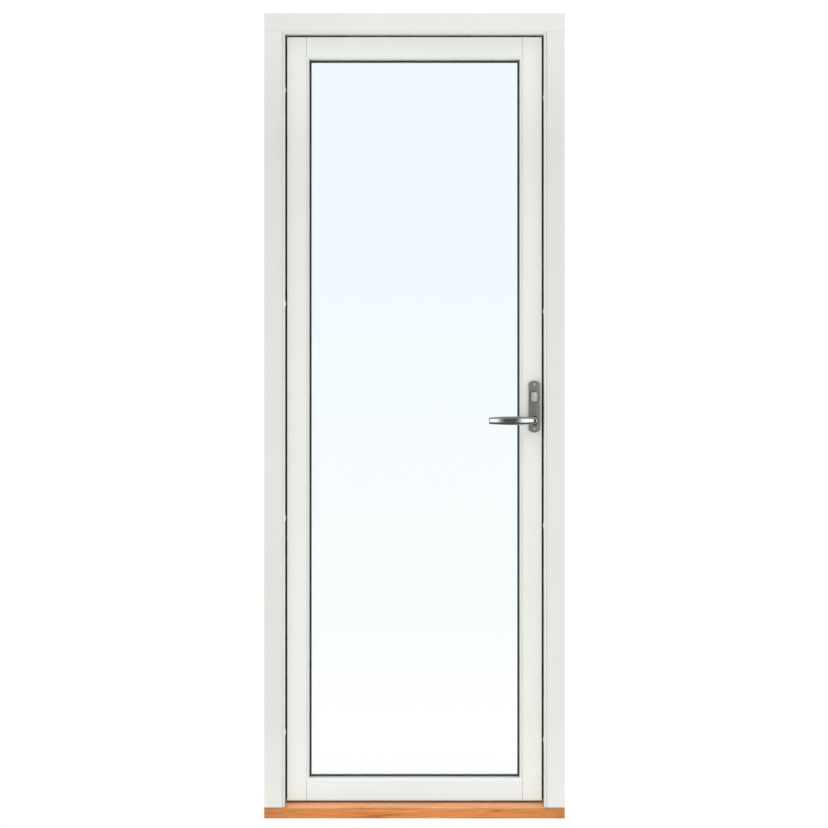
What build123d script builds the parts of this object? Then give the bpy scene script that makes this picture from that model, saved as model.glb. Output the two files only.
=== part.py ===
from build123d import *

import os

# Glazed patio door: a timber door set with a fixed frame, an oiled hardwood threshold and
# one glazed leaf that opens outwards. X runs to the right seen from the room, Y runs
# outwards through the frame and Z runs up. The origin is under the middle of the
# threshold, at half the depth of the frame. All sizes are in millimetres.

# Door set
set_width = 780.0
set_height = 2090.0
frame_depth = 92.0

# Section of the head and the jambs
frame_face = 46.0
moulding_width = 7.0
quirk_width = 0.8
quirk_depth = 1.2
rebate_width = 12.0
rebate_depth = 29.0
frame_arris = 2.0

# Leaf
running_gap = 5.0
leaf_setback = 2.0
leaf_thickness = 60.0
lip_gap = 5.0
member_face = 57.0
bottom_rail_face = 59.0
bevel_width = 6.5
bevel_depth = 5.0
leaf_arris = 3.0
lip_arris = 2.0

# Glazing
glazing_nib = 27.0
glazing_cover = 13.0
glass_edge_gap = 3.0
glass_thickness = 4.0
glass_space = 12.0
spacer_width = 15.5
gasket_inner_thickness = 2.0
gasket_outer_thickness = 2.0
gasket_sight = 1.0
bead_splay_width = 6.0
bead_splay_depth = 6.0
setting_block_length = 100.0
setting_block_end = 80.0

# Threshold
threshold_top = 36.5
nose_height = 26.0
weather_fall = 4.0
cover_thickness = 2.0
cover_turndown = 12.0
cover_end_gap = 0.5

# Seal in the rebate of the frame
seal_width = 6.0
seal_gap = 0.3
seal_edge = 0.5

# Drip rail outside on the bottom rail
drip_projection = 20.0
drip_height = 28.0
drip_thickness = 2.0
drip_lift = 4.5
drip_fall = 6.0
drip_lip = 7.0
drip_end_gap = 24.0

# Frame fixings: sleeves in the jambs, with screws through them and caps over them
fixing_count = 4
fixing_low_left = 221.0
fixing_low_right = 201.5
fixing_drop_left = 196.5
fixing_drop_right = 216.0
sleeve_radius = 7.0
sleeve_fit = 0.1
sleeve_recess = 1.0
socket_width = 10.0
socket_depth = 20.0
screw_hole_radius = 3.25
cap_radius = 9.0
cap_height = 2.5
cap_shank_radius = 4.8
cap_shank_length = 7.0

# Hinges
hinge_end_distance = 215.0
hinge_height = 90.0
knuckle_radius = 7.0
knuckle_lift = 0.6
knuckle_gap = 0.4
pin_radius = 4.0
pin_length = 32.0
bearing_clearance = 0.06
hinge_plate_width = 26.0
hinge_plate_thickness = 2.5
plate_setback = 4.0

# Lock in the edge of the lock stile and its strikes in the jamb
faceplate_width = 20.0
faceplate_thickness = 3.0
faceplate_margin = 105.0
lock_setback = 14.0
bolt_low = 308.5
bolt_drop = 282.0
bolt_width = 8.0
bolt_height = 26.0
bolt_length = 12.0
strike_height = 90.0
strike_thickness = 2.5
strike_slot_width = 10.0
strike_slot_height = 34.0
strike_slot_depth = 14.0

# Handle plate
handle_backset = 20.0
plate_width = 30.0
plate_below = 31.0
plate_above = 104.0
plate_thickness = 9.0
plate_end_radius = 20.0
plate_edge = 2.0
collar_radius = 10.5
collar_height = 3.0

# Lever
lever_height = 1032.0
neck_radius = 8.0
lever_stand_off = 45.0
lever_reach = 119.0
lever_thickness = 11.5
lever_end_thickness = 9.0
lever_bow = 6.0
lever_head_radius = 8.6
lever_root_height = 15.6
lever_belly_height = 23.0
lever_belly_at = 64.0
lever_tip_height = 17.2
tip_corner = 3.0
lever_edge = 2.0
spindle_size = 8.0
spindle_length = 30.0
spindle_end_gap = 2.0
spindle_hole_radius = 6.5

# Thumb turn
turn_rise = 62.0
turn_width = 18.0
turn_length = 25.0
turn_corner = 5.0
turn_base = 5.0
turn_grip_width = 8.0
turn_grip_length = 22.0
turn_grip_depth = 12.0
turn_edge = 2.0
turn_gap = 0.3
turn_shaft_radius = 5.0

# Planes and lines that the pieces share
room_y = -frame_depth / 2
outer_y = frame_depth / 2
rebate_y = outer_y - rebate_depth
half_width = set_width / 2
flat_x = half_width - frame_face
open_x = flat_x - moulding_width
rebate_x = open_x + rebate_width
flat_top = set_height - frame_face
open_top = flat_top - moulding_width
rebate_top = open_top + rebate_width
threshold_step = threshold_top - rebate_width

leaf_back = outer_y - leaf_setback
leaf_y = leaf_back - leaf_thickness
lip_y = rebate_y + lip_gap
leaf_x = open_x - running_gap
leaf_bottom = threshold_top + running_gap
leaf_top = open_top - running_gap
lip_x = rebate_x - running_gap
lip_bottom = threshold_step + running_gap
lip_top = rebate_top - running_gap

sight_x = leaf_x - member_face
sight_bottom = leaf_bottom + bottom_rail_face
sight_top = leaf_top - member_face
nib_y = leaf_y + glazing_nib
glass_inner_y = nib_y + gasket_inner_thickness
space_y = glass_inner_y + glass_thickness
glass_outer_y = space_y + glass_space
gasket_outer_y = glass_outer_y + glass_thickness
bead_y = gasket_outer_y + gasket_outer_thickness

fixing_y = leaf_y
lock_y = rebate_y - lock_setback
hinge_x = -(rebate_x + lip_x) / 2
hinge_y = outer_y + knuckle_radius + knuckle_lift
plate_y = leaf_y - plate_thickness
grip_y = leaf_y - lever_stand_off
handle_x = leaf_x - handle_backset
turn_height = lever_height + turn_rise
bolt_heights = (leaf_bottom + bolt_low, lever_height, leaf_top - bolt_drop)
faceplate_bottom = leaf_bottom + faceplate_margin
faceplate_top = leaf_top - faceplate_margin

# How far a cutting shape reaches beyond the faces it cuts
over = 1.0


def block(x0, x1, y0, y1, z0, z1):
    """Box between two corners."""
    return Pos((x0 + x1) / 2, (y0 + y1) / 2, (z0 + z1) / 2) * Box(x1 - x0, y1 - y0, z1 - z0)


def prism_y(points, y0, y1):
    """Solid from y0 to y1 with an outline given in X and Z."""
    plane = Plane(origin=(0, y0, 0), x_dir=(1, 0, 0), z_dir=(0, -1, 0))
    return extrude(plane * Polygon(*points, align=None), amount=y1 - y0, dir=(0, 1, 0))


def prism_x(points, x0, x1):
    """Solid from x0 to x1 with an outline given in Y and Z."""
    plane = Plane(origin=(x0, 0, 0), x_dir=(0, 1, 0), z_dir=(1, 0, 0))
    return extrude(plane * Polygon(*points, align=None), amount=x1 - x0, dir=(1, 0, 0))


def rod_x(x0, x1, y, z, radius):
    """Round rod along X."""
    return Pos((x0 + x1) / 2, y, z) * Rot(0, 90, 0) * Cylinder(radius, x1 - x0)


def rod_y(x, y0, y1, z, radius):
    """Round rod along Y."""
    return Pos(x, (y0 + y1) / 2, z) * Rot(90, 0, 0) * Cylinder(radius, y1 - y0)


def rod_z(x, y, z0, z1, radius):
    """Upright round rod."""
    return Pos(x, y, (z0 + z1) / 2) * Cylinder(radius, z1 - z0)


def mirrored(shape):
    """The same piece on the other side of the door."""
    return mirror(shape, about=Plane.YZ)


def window(cover, y0, y1):
    """Block that fills the glazed opening, wider than the sight line by cover on every side."""
    x = sight_x + cover
    return block(-x, x, y0, y1, sight_bottom - cover, sight_top + cover)


def splayed_window(cover, y_line, depth, width):
    """Cutter for a splayed edge round the glazed opening: its narrow end is at y_line, and it
    widens by width over depth, towards the room where depth is negative."""
    middle = (sight_bottom + sight_top) / 2
    sections = []
    for share in (0.0, 1.0 + over / abs(depth)):
        plane = Plane(origin=(0, y_line + depth * share, middle), x_dir=(1, 0, 0), z_dir=(0, -1, 0))
        wide = 2 * (sight_x + cover + width * share)
        high = sight_top - sight_bottom + 2 * (cover + width * share)
        sections.append(plane * Rectangle(wide, high))
    return loft(sections)


def ring(inner, outer, y0, y1):
    """Frame-shaped piece round the glazed opening, between two offsets from the sight line."""
    return window(outer, y0, y1) - window(inner, y0 - over, y1 + over)


def frame_section():
    """Section of the head and the jambs: x runs from the outer face towards the opening."""
    moulding_start = frame_face + quirk_width
    opening = frame_face + moulding_width
    section = Polygon(
        (0, room_y),
        (frame_face, room_y),
        (frame_face + quirk_width / 2, room_y + quirk_depth),
        (moulding_start, room_y),
        (opening, room_y),
        (opening, rebate_y),
        (opening - rebate_width, rebate_y),
        (opening - rebate_width, outer_y),
        (0, outer_y),
        align=None,
    )
    moulding_corner = section.vertices().sort_by_distance((opening, room_y, 0))[0]
    section = fillet(moulding_corner, moulding_width - quirk_width)
    weather_corner = section.vertices().sort_by_distance((opening - rebate_width, outer_y, 0))[0]
    return fillet(weather_corner, frame_arris)


def make_head():
    """Head of the frame, over the full width, with the moulding mitred at its ends."""
    plane = Plane(origin=(-half_width, 0, set_height), x_dir=(0, 0, -1), z_dir=(1, 0, 0))
    head = extrude(plane * frame_section(), amount=set_width)
    below = [
        (-half_width - over, flat_top),
        (-flat_x, flat_top),
        (-open_x, open_top),
        (-open_x, open_top - over),
        (-half_width - over, open_top - over),
    ]
    corner = prism_y(below, room_y - over, rebate_y)
    return head - corner - mirrored(corner)


def make_jamb(threshold):
    """Jamb on the left, from the threshold's end block up to the head."""
    height = set_height - nose_height
    jamb = extrude(Pos(-half_width, 0, nose_height) * frame_section(), amount=height)
    above = [
        (-half_width - over, flat_top),
        (-flat_x, flat_top),
        (-open_x, open_top),
        (-open_x + over, open_top),
        (-open_x + over, set_height + over),
        (-half_width - over, set_height + over),
    ]
    jamb -= prism_y(above, room_y - over, rebate_y)
    jamb -= block(-half_width - over, -open_x + over, rebate_y, outer_y + over, rebate_top, set_height + over)
    return jamb - threshold


def make_threshold():
    """Hardwood threshold: a nose towards the room, a slope up to the leaf, a step that the
    leaf closes against and a fall outwards. Level blocks at the ends carry the jambs."""
    inside = [
        (room_y, 0),
        (rebate_y, 0),
        (rebate_y, threshold_top),
        (leaf_y, threshold_top),
        (room_y, nose_height),
    ]
    weather_top = threshold_step - cover_thickness
    outside = [
        (rebate_y, 0),
        (outer_y, 0),
        (outer_y, weather_top - weather_fall),
        (rebate_y, weather_top),
    ]
    body = prism_x(inside, -flat_x, flat_x) + prism_x(outside, -rebate_x, rebate_x)
    for side in (-1, 1):
        inner, weather, outer = side * flat_x, side * rebate_x, side * half_width
        body += block(min(inner, outer), max(inner, outer), room_y, rebate_y, 0, nose_height)
        body += block(min(weather, outer), max(weather, outer), rebate_y, outer_y, 0, nose_height)
    return body


def make_threshold_cover():
    """Metal cover on the threshold's outward fall, turned down over its face."""
    top, fall, thick = threshold_step, weather_fall, cover_thickness
    points = [
        (rebate_y, top - thick),
        (outer_y, top - thick - fall),
        (outer_y, top - thick - fall - cover_turndown),
        (outer_y + thick, top - thick - fall - cover_turndown),
        (outer_y + thick, top - fall),
        (rebate_y, top),
    ]
    end = rebate_x - cover_end_gap
    return prism_x(points, -end, end)


def seal_section():
    """Section of the seal: a flat foot with a round bulb, as tall as the gap it fills."""
    bulb = seal_width / 2
    foot = lip_gap - seal_gap - bulb
    base = Pos(0, foot / 2) * Rectangle(seal_width, foot)
    upper_half = Pos(0, foot + bulb / 2) * Rectangle(seal_width, bulb)
    return base + (Pos(0, foot) * Circle(bulb) & upper_half)


def upright_seal(x, z0, z1):
    """Seal along a jamb."""
    return extrude(Pos(x, rebate_y, z0) * seal_section(), amount=z1 - z0)


def level_seal(z, x0, x1):
    """Seal along the head or the threshold."""
    plane = Plane(origin=(x1, rebate_y, z), x_dir=(0, 0, 1), z_dir=(-1, 0, 0))
    return extrude(plane * seal_section(), amount=x1 - x0)


def fixing_levels(low, drop):
    """Heights of the fixings in one jamb: low is the first and drop the last one's distance from the top."""
    pitch = (set_height - drop - low) / (fixing_count - 1)
    return [low + pitch * n for n in range(fixing_count)]


def make_sleeve(z):
    """Fixing sleeve in the left jamb, with a socket for the key and a hole for the screw."""
    inner_end = -open_x - sleeve_recess
    sleeve = rod_x(-half_width, inner_end, fixing_y, z, sleeve_radius)
    sleeve -= rod_x(-half_width - over, inner_end, fixing_y, z, screw_hole_radius)
    plane = Plane(origin=(inner_end - socket_depth, fixing_y, z), x_dir=(0, 1, 0), z_dir=(1, 0, 0))
    socket = plane * RegularPolygon(socket_width / 2, 6, major_radius=False)
    return sleeve - extrude(socket, amount=socket_depth + over, dir=(1, 0, 0))


def make_cap(z):
    """Domed cap over a fixing in the left jamb, with a shank that plugs the sleeve."""
    crown = (cap_height, 0)
    rim = (0, cap_radius)
    length, radius = cap_shank_length, cap_shank_radius
    dome = TangentArc(crown, rim, tangent=(0, 1))
    shank = Polyline(rim, (0, radius), (-length, radius), (-length, 0), crown)
    return Pos(-open_x, fixing_y, z) * revolve(make_face([dome, shank]), Axis.X)


def make_leaf_blank():
    """Outer form of the leaf: the part in the opening and the wider lip outside it."""
    body = block(-leaf_x, leaf_x, leaf_y, lip_y, leaf_bottom, leaf_top)
    body = fillet(body.faces().sort_by(Axis.Y)[0].edges(), leaf_arris)
    lip = block(-lip_x, lip_x, lip_y, leaf_back, lip_bottom, lip_top)
    lip = fillet(lip.faces().sort_by(Axis.Y)[-1].edges(), lip_arris)
    return body + lip


def make_stile(blank):
    """Left stile, over the full height of the leaf."""
    joint_x = sight_x + bevel_width
    outline = [
        (-lip_x - over, lip_bottom - over),
        (-joint_x, lip_bottom - over),
        (-joint_x, sight_bottom - bevel_width),
        (-sight_x, sight_bottom),
        (-sight_x, sight_top),
        (-joint_x, sight_top + bevel_width),
        (-joint_x, lip_top + over),
        (-lip_x - over, lip_top + over),
    ]
    rebate_line = -sight_x - glazing_cover
    zone = prism_y(outline, leaf_y - over, nib_y)
    zone += block(-lip_x - over, rebate_line, nib_y, leaf_back + over, lip_bottom - over, lip_top + over)
    return (blank & zone) - splayed_window(0, leaf_y + bevel_depth, -bevel_depth, bevel_width)


def make_rail(blank, end, sight, side):
    """Rail between the stiles: end is the leaf's edge and sight the sight line beside it, with
    side +1 where the glass lies above."""
    joint_x = sight_x + bevel_width
    beyond = end - side * rebate_width
    outline = [
        (-joint_x, beyond),
        (-joint_x, sight - side * bevel_width),
        (-sight_x, sight),
        (sight_x, sight),
        (joint_x, sight - side * bevel_width),
        (joint_x, beyond),
    ]
    rebate_line = sight_x + glazing_cover
    rebate_z = sight - side * glazing_cover
    zone = prism_y(outline, leaf_y - over, nib_y)
    low, high = min(beyond, rebate_z), max(beyond, rebate_z)
    zone += block(-rebate_line, rebate_line, nib_y, leaf_back + over, low, high)
    return (blank & zone) - splayed_window(0, leaf_y + bevel_depth, -bevel_depth, bevel_width)


def make_beads():
    """Four mitred glazing beads outside the glass, splayed towards it."""
    beads = ring(0, glazing_cover, bead_y, leaf_back)
    beads -= splayed_window(0, leaf_back - bead_splay_depth, bead_splay_depth, bead_splay_width)
    near = member_face / 2
    far = near + glazing_cover
    left, right = -sight_x, sight_x
    low, high = sight_bottom, sight_top
    inside = [
        (left + near, low + near),
        (right - near, low + near),
        (right - near, high - near),
        (left + near, high - near),
    ]
    outside = [
        (left - far, low - far),
        (right + far, low - far),
        (right + far, high + far),
        (left - far, high + far),
    ]
    bottom = [inside[0], inside[1], outside[1], outside[0]]
    top = [inside[3], inside[2], outside[2], outside[3]]
    side = [inside[0], inside[3], outside[3], outside[0]]
    cut = [prism_y(outline, bead_y - over, leaf_back + over) for outline in (bottom, top, side)]
    return beads & cut[0], beads & cut[1], beads & cut[2], beads & mirrored(cut[2])


def make_setting_blocks():
    """Packers under the edge of the glass unit."""
    bottom = sight_bottom - glazing_cover
    end = sight_x - setting_block_end
    size = setting_block_length
    blocks = []
    for x0 in (-end, end - size):
        blocks.append(block(x0, x0 + size, glass_inner_y, gasket_outer_y, bottom, bottom + glass_edge_gap))
    return Compound(children=blocks)


def make_drip_rail():
    """Metal drip rail that throws water clear of the threshold."""
    y, t = leaf_back, drip_thickness
    base = lip_bottom + drip_lift
    root = base + drip_height - 2 * t
    tip = root - drip_fall
    points = [
        (y, base),
        (y + t, base),
        (y + t, root - 2 * t),
        (y + drip_projection - t, tip - t),
        (y + drip_projection - t, tip - drip_lip),
        (y + drip_projection, tip - drip_lip),
        (y + drip_projection, tip),
        (y + t, root - t / 2),
        (y + t, base + drip_height),
        (y, base + drip_height),
    ]
    end = lip_x - drip_end_gap
    return prism_x(points, -end, end)


def make_hinge(z):
    """One lift-off hinge, as the half on the jamb with the pin and the half on the leaf."""
    low, high = z - hinge_height / 2, z + hinge_height / 2
    thick = hinge_plate_thickness
    plate_end = -rebate_x - plate_setback
    plate = block(plate_end - hinge_plate_width, plate_end, outer_y, outer_y + thick, low, high)
    plate += block(plate_end, hinge_x, outer_y, outer_y + thick, low, z - knuckle_gap)
    plate += block(hinge_x - knuckle_radius, hinge_x, outer_y, hinge_y, low, z - knuckle_gap)
    frame_half = plate + rod_z(hinge_x, hinge_y, low, z, knuckle_radius)
    frame_half += rod_z(hinge_x, hinge_y, z, z + pin_length, pin_radius)

    leaf_half = block(-lip_x, -lip_x + hinge_plate_width, leaf_back, leaf_back + thick, low, high)
    leaf_half += block(-lip_x, -lip_x + thick, leaf_back, hinge_y, z + knuckle_gap, high)
    leaf_half += rod_z(hinge_x, hinge_y, z + knuckle_gap, high, knuckle_radius)
    bore = pin_radius + bearing_clearance
    leaf_half -= rod_z(hinge_x, hinge_y, z, z + pin_length + over, bore)
    return frame_half, leaf_half


def cut_lock_edge(stile):
    """Groove for the lock's faceplate, pockets for its bolts and the hole for the spindle."""
    y0, y1 = lock_y - faceplate_width / 2, lock_y + faceplate_width / 2
    stile -= block(leaf_x - faceplate_thickness, leaf_x + over, y0, y1, faceplate_bottom, faceplate_top)
    for z in bolt_heights:
        stile -= lock_bolt(z)
    hole_end = leaf_y + spindle_length
    return stile - rod_y(handle_x, leaf_y - over, hole_end, lever_height, spindle_hole_radius)


def lock_bolt(z):
    """Lock bolt, drawn back flush with the faceplate."""
    y0, y1 = lock_y - bolt_width / 2, lock_y + bolt_width / 2
    return block(leaf_x - bolt_length, leaf_x, y0, y1, z - bolt_height / 2, z + bolt_height / 2)


def make_faceplate():
    """Faceplate of the lock, flush in the edge of the lock stile."""
    y0, y1 = lock_y - faceplate_width / 2, lock_y + faceplate_width / 2
    plate = block(leaf_x - faceplate_thickness, leaf_x, y0, y1, faceplate_bottom, faceplate_top)
    for z in bolt_heights:
        plate -= lock_bolt(z)
    return plate


def strike_blank(z):
    """Space that a strike plate takes in the lock jamb."""
    y0, y1 = lock_y - faceplate_width / 2, lock_y + faceplate_width / 2
    half = strike_height / 2
    return block(open_x, open_x + strike_thickness, y0, y1, z - half, z + half)


def strike_slot(z):
    """Hole through a strike plate and into the jamb that takes the lock bolt."""
    y0, y1 = lock_y - strike_slot_width / 2, lock_y + strike_slot_width / 2
    half = strike_slot_height / 2
    return block(open_x - over, open_x + strike_slot_depth, y0, y1, z - half, z + half)


def make_handle_plate():
    """Handle plate with arched ends, a collar round the lever's neck and a turn's bore."""
    plate_height = plate_below + plate_above
    outline = Rectangle(plate_width, plate_height)
    outline &= Rot(0, 0, 90) * SlotOverall(plate_height, 2 * plate_end_radius)
    middle = lever_height + (plate_above - plate_below) / 2
    plane = Plane(origin=(handle_x, leaf_y, middle), x_dir=(1, 0, 0), z_dir=(0, -1, 0))
    plate = extrude(plane * outline, amount=plate_thickness, dir=(0, -1, 0))
    plate = chamfer(plate.faces().sort_by(Axis.Y)[0].edges(), plate_edge)
    plate += rod_y(handle_x, plate_y - collar_height, leaf_y, lever_height, collar_radius)
    neck_bore = neck_radius + bearing_clearance
    turn_bore = turn_shaft_radius + bearing_clearance
    plate -= rod_y(handle_x, plate_y - collar_height - over, leaf_y + over, lever_height, neck_bore)
    return plate - rod_y(handle_x, plate_y - over, leaf_y + over, turn_height, turn_bore)


def lever_front():
    """Front view of the lever: a grip that swells in the middle and a round head at the spindle."""
    root, belly, tip = lever_root_height / 2, lever_belly_height / 2, lever_tip_height / 2
    upper = ThreePointArc((0, root), (-lever_belly_at, belly), (-lever_reach, tip))
    lower = ThreePointArc((-lever_reach, -tip), (-lever_belly_at, -belly), (0, -root))
    outline = make_face([upper, Line(upper @ 1, lower @ 0), lower, Line(lower @ 1, upper @ 0)])
    outline = fillet(outline.vertices().sort_by(Axis.X)[:2], tip_corner)
    return outline + Circle(lever_head_radius)


def lever_plan():
    """Top view of the lever: bowed towards the room, and thinner at both ends."""
    middle = -lever_reach / 2
    reach = lever_reach / 2 + lever_head_radius + over
    front_end = lever_bow * (2 * reach / lever_reach) ** 2
    back_end = lever_bow + lever_end_thickness
    front = ThreePointArc((middle - reach, front_end), (middle, 0), (middle + reach, front_end))
    back = ThreePointArc((middle + reach, back_end), (middle, lever_thickness), (middle - reach, back_end))
    return make_face([front, Line(front @ 1, back @ 0), back, Line(back @ 1, front @ 0)])


def make_lever():
    """Lever: a bowed grip, a neck through the plate's collar and a square spindle."""
    front_y = grip_y - lever_thickness / 2
    depth = lever_bow + lever_end_thickness + lever_head_radius
    front_plane = Plane(origin=(handle_x, front_y + depth, lever_height), x_dir=(1, 0, 0), z_dir=(0, -1, 0))
    plan_plane = Pos(handle_x, front_y, lever_height - lever_belly_height)
    grip = extrude(front_plane * lever_front(), amount=depth + over, dir=(0, -1, 0))
    grip &= extrude(plan_plane * lever_plan(), amount=2 * lever_belly_height, dir=(0, 0, 1))
    grip = chamfer(grip.faces().sort_by(Axis.Y)[0].edges(), lever_edge)
    neck = rod_y(handle_x, front_y + lever_bow, leaf_y - turn_gap, lever_height, neck_radius)
    end = leaf_y + spindle_length - spindle_end_gap
    spindle = Pos(handle_x, (grip_y + end) / 2, lever_height) * Box(spindle_size, end - grip_y, spindle_size)
    return grip + neck + spindle


def make_thumb_turn():
    """Thumb turn: a rounded base on a shaft, with an upright grip across it."""
    face = plate_y - turn_gap
    plane = Plane(origin=(handle_x, face, turn_height), x_dir=(1, 0, 0), z_dir=(0, -1, 0))
    turn = extrude(plane * RectangleRounded(turn_width, turn_length, turn_corner), amount=turn_base)
    outline = Rectangle(turn_grip_width, turn_grip_length)
    grip = extrude(plane * outline, amount=turn_base + turn_grip_depth)
    turn += chamfer(grip.faces().sort_by(Axis.Y)[0].edges(), turn_edge)
    return turn + rod_y(handle_x, face - over, leaf_y - turn_gap, turn_height, turn_shaft_radius)


def make_all():
    """Every piece of the door set by name."""
    pieces = {}
    threshold = make_threshold()
    left_jamb = make_jamb(threshold)
    right_jamb = mirrored(left_jamb)
    sleeve_hole = sleeve_radius + sleeve_fit
    left_levels = fixing_levels(fixing_low_left, fixing_drop_left)
    right_levels = fixing_levels(fixing_low_right, fixing_drop_right)
    for z in left_levels:
        left_jamb -= rod_x(-half_width - over, -open_x + over, fixing_y, z, sleeve_hole)
    for z in right_levels:
        right_jamb -= rod_x(open_x - over, half_width + over, fixing_y, z, sleeve_hole)
    names = ("bottom", "middle", "top")
    for name, z in zip(names, bolt_heights):
        right_jamb -= strike_blank(z) + strike_slot(z)
        pieces["strike_" + name] = strike_blank(z) - strike_slot(z)
    pieces["frame_head"] = make_head()
    pieces["frame_jamb_hinge_side"] = left_jamb
    pieces["frame_jamb_lock_side"] = right_jamb
    pieces["threshold"] = threshold
    pieces["threshold_cover"] = make_threshold_cover()

    seal_line = seal_edge + seal_width / 2
    seal_end = open_x + seal_edge + seal_width
    pieces["frame_seal_head"] = level_seal(open_top + seal_line, -seal_end, seal_end)
    jamb_seal = upright_seal(-open_x - seal_line, threshold_step, open_top + seal_edge)
    pieces["frame_seal_hinge_side"] = jamb_seal
    pieces["frame_seal_lock_side"] = mirrored(jamb_seal)
    between = open_x + seal_edge
    pieces["threshold_seal"] = level_seal(threshold_top - seal_line, -between, between)

    pieces["fixing_sleeves_left"] = Compound(children=[make_sleeve(z) for z in left_levels])
    pieces["fixing_caps_left"] = Compound(children=[make_cap(z) for z in left_levels])
    pieces["fixing_sleeves_right"] = Compound(children=[mirrored(make_sleeve(z)) for z in right_levels])
    pieces["fixing_caps_right"] = Compound(children=[mirrored(make_cap(z)) for z in right_levels])

    blank = make_leaf_blank()
    stile = make_stile(blank)
    pieces["hinge_stile"] = stile
    pieces["lock_stile"] = cut_lock_edge(mirrored(stile))
    pieces["bottom_rail"] = make_rail(blank, lip_bottom, sight_bottom, 1)
    pieces["top_rail"] = make_rail(blank, lip_top, sight_top, -1)

    glass_cover = glazing_cover - glass_edge_gap
    pieces["glazing_gasket_inner"] = ring(-gasket_sight, glass_cover, nib_y, glass_inner_y)
    pieces["glass_inner"] = window(glass_cover, glass_inner_y, space_y)
    pieces["spacer_bar"] = ring(glass_cover - spacer_width, glass_cover, space_y, glass_outer_y)
    pieces["glass_outer"] = window(glass_cover, glass_outer_y, gasket_outer_y)
    pieces["glazing_gasket_outer"] = ring(-gasket_sight, glass_cover, gasket_outer_y, bead_y)
    bottom, top, left, right = make_beads()
    pieces["glazing_bead_bottom"] = bottom
    pieces["glazing_bead_top"] = top
    pieces["glazing_bead_left"] = left
    pieces["glazing_bead_right"] = right
    pieces["setting_blocks"] = make_setting_blocks()
    pieces["drip_rail"] = make_drip_rail()

    hinge_low = leaf_bottom + hinge_end_distance
    hinge_high = leaf_top - hinge_end_distance
    for name, z in zip(names, (hinge_low, (hinge_low + hinge_high) / 2, hinge_high)):
        frame_half, leaf_half = make_hinge(z)
        pieces["hinge_frame_half_" + name] = frame_half
        pieces["hinge_leaf_half_" + name] = leaf_half

    pieces["lock_faceplate"] = make_faceplate()
    pieces["lock_bolts"] = Compound(children=[lock_bolt(z) for z in bolt_heights])
    pieces["handle_backplate"] = make_handle_plate()
    pieces["lever_handle"] = make_lever()
    pieces["thumb_turn"] = make_thumb_turn()
    return pieces


os.makedirs("parts", exist_ok=True)
for piece_name, piece in make_all().items():
    export_step(piece, "parts/" + piece_name + ".step")
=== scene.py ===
import math

import bmesh
import bpy
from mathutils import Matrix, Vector


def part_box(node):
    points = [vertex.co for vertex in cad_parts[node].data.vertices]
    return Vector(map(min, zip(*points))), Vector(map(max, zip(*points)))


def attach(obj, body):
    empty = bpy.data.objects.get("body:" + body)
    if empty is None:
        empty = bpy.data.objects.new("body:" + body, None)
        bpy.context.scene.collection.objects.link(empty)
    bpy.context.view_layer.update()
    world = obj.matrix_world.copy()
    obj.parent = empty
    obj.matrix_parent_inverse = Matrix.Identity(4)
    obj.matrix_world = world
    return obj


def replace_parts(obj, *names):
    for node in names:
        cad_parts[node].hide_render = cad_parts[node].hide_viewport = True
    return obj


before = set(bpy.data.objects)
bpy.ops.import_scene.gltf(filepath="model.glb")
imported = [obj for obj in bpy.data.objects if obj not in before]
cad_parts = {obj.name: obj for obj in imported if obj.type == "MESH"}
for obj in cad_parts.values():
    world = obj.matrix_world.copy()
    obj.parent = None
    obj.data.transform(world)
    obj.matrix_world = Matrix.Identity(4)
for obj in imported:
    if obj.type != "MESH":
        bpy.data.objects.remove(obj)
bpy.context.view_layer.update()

# Glazed patio door: a finish for every imported piece and, as meshes, the handle plate, the lever, the ring
# and the washers at their roots, the screws and the foam seals. The dark washers are painted shadow, and the
# seals also paint the shade in the gap round the leaf. Everything is in metres.
# X runs to the right seen from the room, Y outwards and Z up.

# Camera, square to the front of the door
field_width = 2.1487
camera_distance = 7.1
camera_x = -0.0012
camera_z = 1.0494
sensor_width = 36.0

# Soft boxes: name, place, size and power
lamps = (
    ("front_lamp", (-0.4, -5.6, 0.55), (3.6, 1.1), 38),
    ("foot_lamp", (0.0, -3.2, 0.3), (2.4, 0.5), 6),
    ("key_lamp", (-3.3, -4.0, 0.8), (1.6, 1.6), 18),
    ("fill_lamp", (3.4, -3.9, 0.8), (1.6, 1.6), 16),
)

# Sky light: its colour, its strength low and high up, and the heights between which it grows
sky_color = (0.97, 0.985, 1.0, 1.0)
sky_low = 0.52
sky_high = 1.5
sky_grows = (0.45, 0.65)

# Backdrop and floor. The floor keeps the shadow near the door and is all white far from it
white = (1.0, 1.0, 1.0, 1.0)
backdrop_strength = 1.04
floor_reach = 4.0
floor_tone = (240, 240, 240)
floor_white_near = 0.8
floor_fades = (1.0, 2.6)

# What metal mirrors, as stops: place from 0 to 1 and colour
mirror_dark = (84, 88, 84)
mirror_bright = (1.6, 1.6, 1.6, 1.0)
mirror_floor = (96, 98, 95)
mirror_panels = ((0.15, mirror_dark), (0.22, mirror_bright), (0.47, mirror_bright), (0.54, mirror_dark))
mirror_levels = ((0.45, (84, 87, 84)), (0.55, (150, 155, 150)))
mirror_edges = ((0.40, (255, 255, 255)), (0.44, (0, 0, 0)), (0.595, (0, 0, 0)), (0.63, (255, 255, 255)))

# Paint of each timber member, as sRGB values from 0 to 255. The members differ in tone by painted light and
# shade: the head and rails paler where more light falls, the jambs darker
bead_tone = (232, 233, 228)
paint_and_light_tones = {
    "frame_head": (233, 233, 228),
    "frame_jamb_hinge_side": (217, 217, 211),
    "frame_jamb_lock_side": (219, 219, 213),
    "hinge_stile": (227, 227, 221),
    "lock_stile": (227, 228, 220),
    "top_rail": (237, 238, 231),
    "bottom_rail": (233, 235, 232),
    "glazing_bead_bottom": bead_tone,
    "glazing_bead_top": bead_tone,
    "glazing_bead_left": bead_tone,
    "glazing_bead_right": bead_tone,
}
level_members = ("frame_head", "top_rail", "bottom_rail", "glazing_bead_bottom", "glazing_bead_top")
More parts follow.
